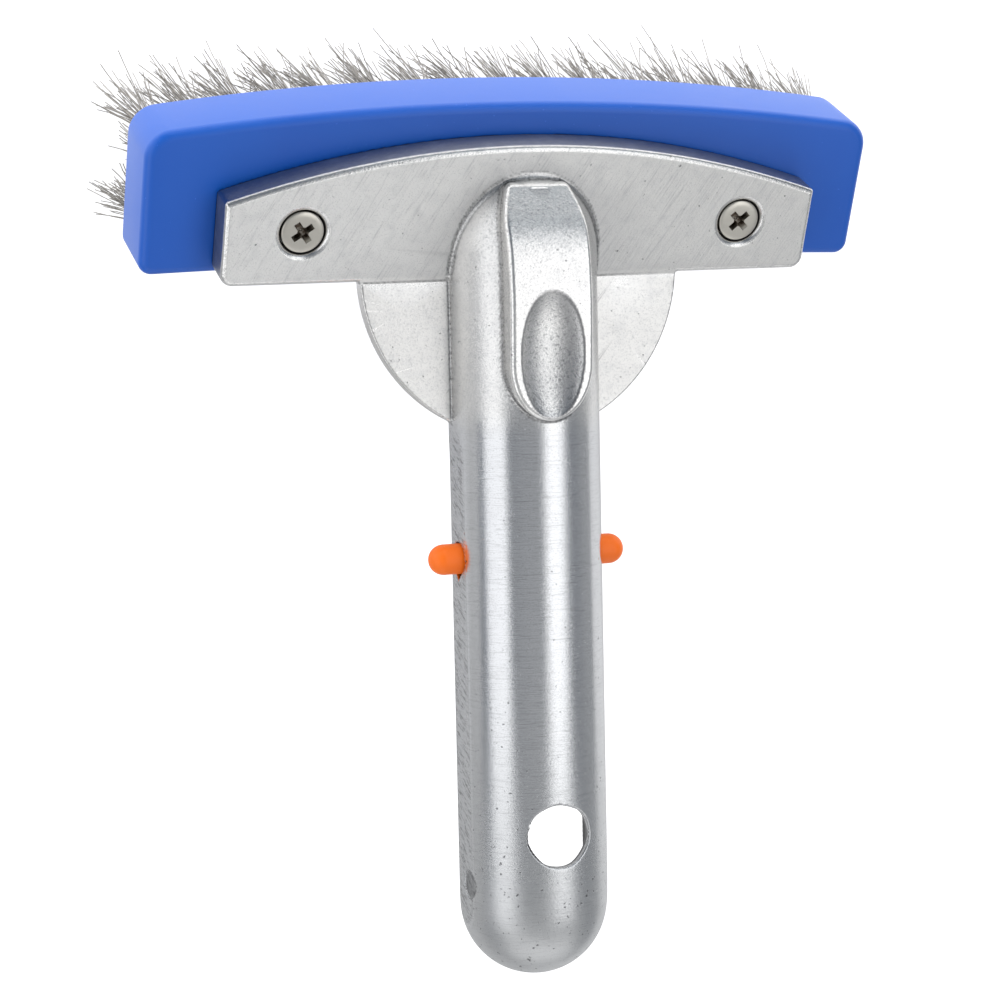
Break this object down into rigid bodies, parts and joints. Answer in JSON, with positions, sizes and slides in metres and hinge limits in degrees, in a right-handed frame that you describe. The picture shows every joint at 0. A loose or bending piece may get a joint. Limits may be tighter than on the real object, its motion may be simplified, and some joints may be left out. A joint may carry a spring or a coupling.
{
  "type": "pool wall brush",
  "caption": "Pool wall brush: cast aluminium handle with spring buttons for a telescopic pole, on a bowed plastic block of steel wire tufts.",
  "frame": {"origin": "centre of the bounding box in X and Y, on the plane of the bristle tips", "axes": "+X along the block, +Y from the handle's free end towards the block, +Z from the bristle tips towards the handle"},
  "size_m": [0.149, 0.1593, 0.104],
  "materials": {
    "cast_aluminium": "cast and tumbled, satin, with fine cross scratches; sides belt ground",
    "blue_plastic": "moulded polypropylene, smooth satin",
    "bristle_steel": "thin stainless wire in bundles",
    "screw_steel": "stainless, slightly warm, satin",
    "spring_steel": "rolled stainless strip",
    "orange_plastic": "moulded acetal, satin"
  },
  "bodies": {
    "root": {"handle_casting": "cast_aluminium", "brush_block": "blue_plastic", "screw_left": "screw_steel", "screw_right": "screw_steel", "v_spring": "spring_steel", "tuft_r1_c01": "bristle_steel", "tuft_r1_c02": "bristle_steel", "tuft_r1_c03": "bristle_steel", "tuft_r1_c04": "bristle_steel", "tuft_r1_c05": "bristle_steel", "tuft_r1_c06": "bristle_steel", "tuft_r1_c07": "bristle_steel", "tuft_r1_c08": "bristle_steel", "tuft_r1_c09": "bristle_steel", "tuft_r1_c10": "bristle_steel", "tuft_r1_c11": "bristle_steel", "tuft_r1_c12": "bristle_steel", "tuft_r1_c13": "bristle_steel", "tuft_r1_c14": "bristle_steel", "tuft_r1_c15": "bristle_steel", "tuft_r1_c16": "bristle_steel", "tuft_r2_c01": "bristle_steel", "tuft_r2_c02": "bristle_steel", "tuft_r2_c03": "bristle_steel", "tuft_r2_c04": "bristle_steel", "tuft_r2_c05": "bristle_steel", "tuft_r2_c06": "bristle_steel", "tuft_r2_c07": "bristle_steel", "tuft_r2_c08": "bristle_steel", "tuft_r2_c09": "bristle_steel", "tuft_r2_c10": "bristle_steel", "tuft_r2_c11": "bristle_steel", "tuft_r2_c12": "bristle_steel", "tuft_r2_c13": "bristle_steel", "tuft_r2_c14": "bristle_steel", "tuft_r2_c15": "bristle_steel", "tuft_r3_c01": "bristle_steel", "tuft_r3_c02": "bristle_steel", "tuft_r3_c03": "bristle_steel", "tuft_r3_c04": "bristle_steel", "tuft_r3_c05": "bristle_steel", "tuft_r3_c06": "bristle_steel", "tuft_r3_c07": "bristle_steel", "tuft_r3_c08": "bristle_steel", "tuft_r3_c09": "bristle_steel", "tuft_r3_c10": "bristle_steel", "tuft_r3_c11": "bristle_steel", "tuft_r3_c12": "bristle_steel", "tuft_r3_c13": "bristle_steel", "tuft_r3_c14": "bristle_steel", "tuft_r3_c15": "bristle_steel", "tuft_r3_c16": "bristle_steel"},
    "button_left": {"button_left": "orange_plastic"},
    "button_right": {"button_right": "orange_plastic"}
  },
  "joints": [
    {"name": "button_left_press", "type": "slide", "parent": "root", "child": "button_left", "axis": [1, 0, 0], "range_m": [0, 0.0055], "stiffness_N_per_m": 800, "springref_m": -0.003, "deforming": ["v_spring"]},
    {"name": "button_right_press", "type": "slide", "parent": "root", "child": "button_right", "axis": [-1, 0, 0], "range_m": [0, 0.0055], "stiffness_N_per_m": 800, "springref_m": -0.003, "deforming": ["v_spring"]}
  ]
}
